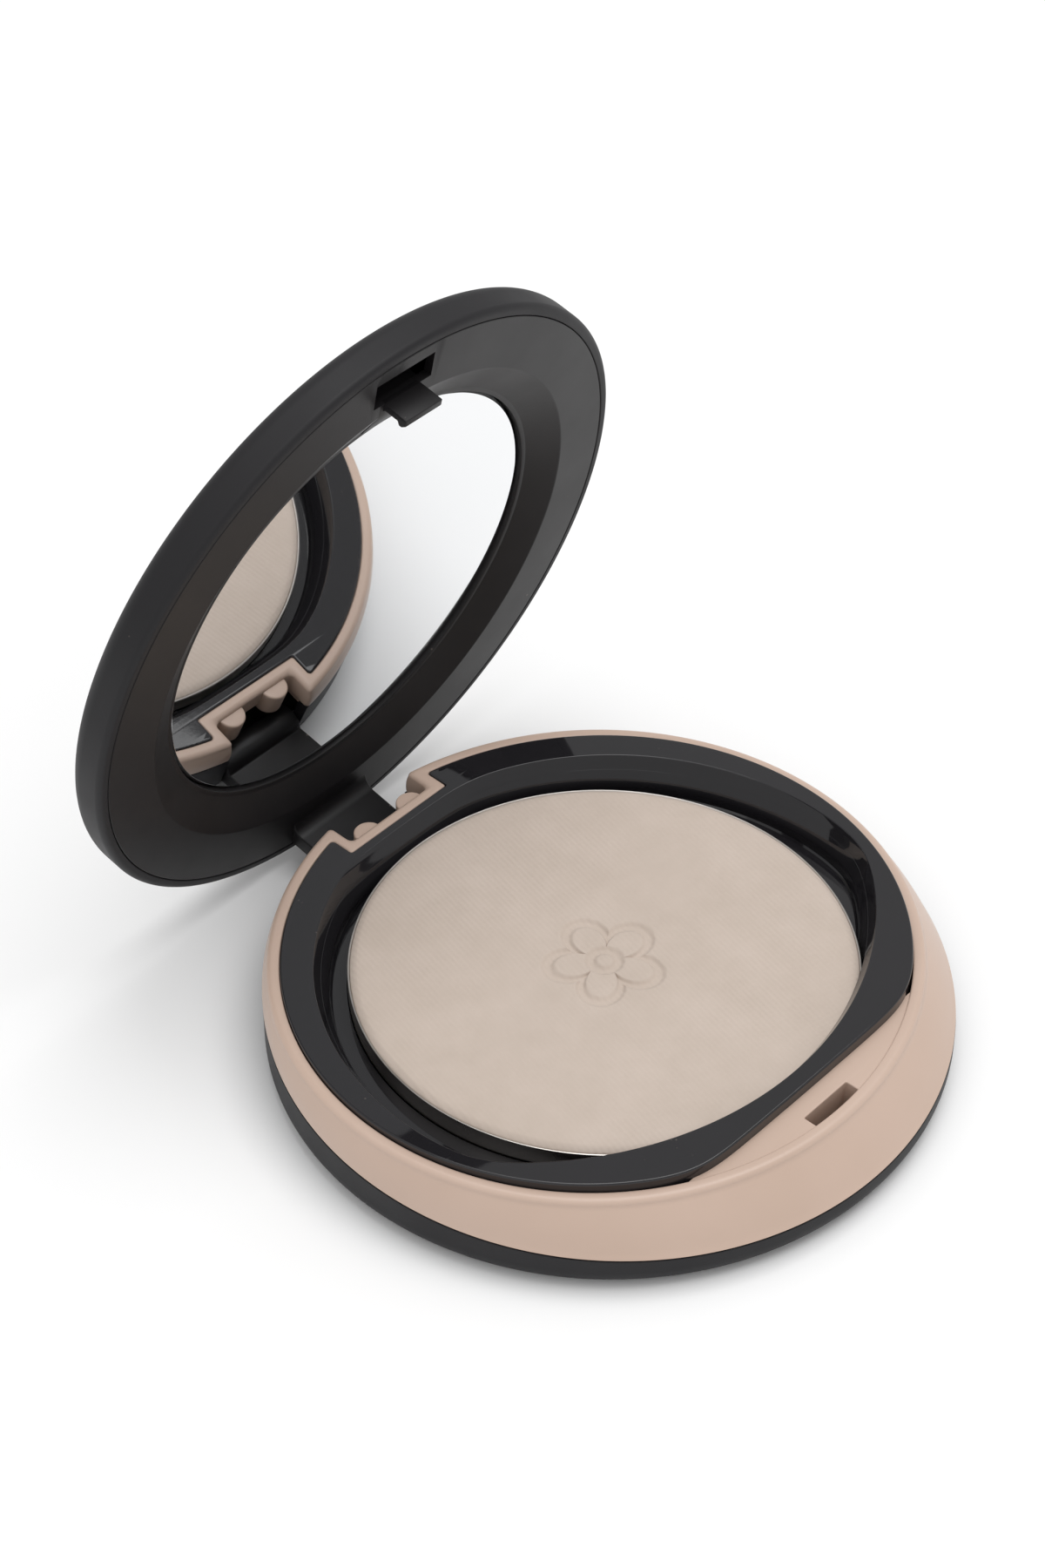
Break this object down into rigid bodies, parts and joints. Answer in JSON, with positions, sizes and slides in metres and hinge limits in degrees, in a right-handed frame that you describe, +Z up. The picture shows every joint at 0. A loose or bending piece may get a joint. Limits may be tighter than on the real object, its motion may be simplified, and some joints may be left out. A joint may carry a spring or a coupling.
{
  "type": "powder compact",
  "caption": "Round pressed-powder compact standing open: black base, pale nude rim, gloss black bezel, beige powder, hinged black lid with a round mirror.",
  "frame": {"origin": "centre of the base's flat underside, on the table", "axes": "+Z up from the table, +X along the hinge pin, +Y towards the hinge, so -Y is the latch side"},
  "size_m": [0.0756, 0.0846, 0.0761],
  "materials": {
    "soft_touch_black": "matte",
    "nude_plastic": "satin",
    "gloss_black": "gloss",
    "pan_aluminium": "satin",
    "powder_cake": "matte",
    "adhesive": "matte",
    "pin_steel": "satin",
    "label_stock": "satin",
    "frame_black": "satin",
    "mirror_glass": "polished"
  },
  "bodies": {
    "base": {"base_shell": "soft_touch_black", "body_shell": "nude_plastic", "gloss_bezel": "gloss_black", "powder_pan": "pan_aluminium", "pressed_powder": "powder_cake", "pan_adhesive": "adhesive", "hinge_pin": "pin_steel", "base_label": "label_stock"},
    "lid": {"lid_cover": "soft_touch_black", "lid_frame": "frame_black", "mirror": "mirror_glass", "mirror_adhesive": "adhesive"}
  },
  "joints": [
    {"name": "lid_hinge", "type": "hinge", "parent": "base", "child": "lid", "pos_m": [0, 0.0361, 0.0033], "axis": [1, 0, 0], "range_deg": [-7, 78]}
  ]
}
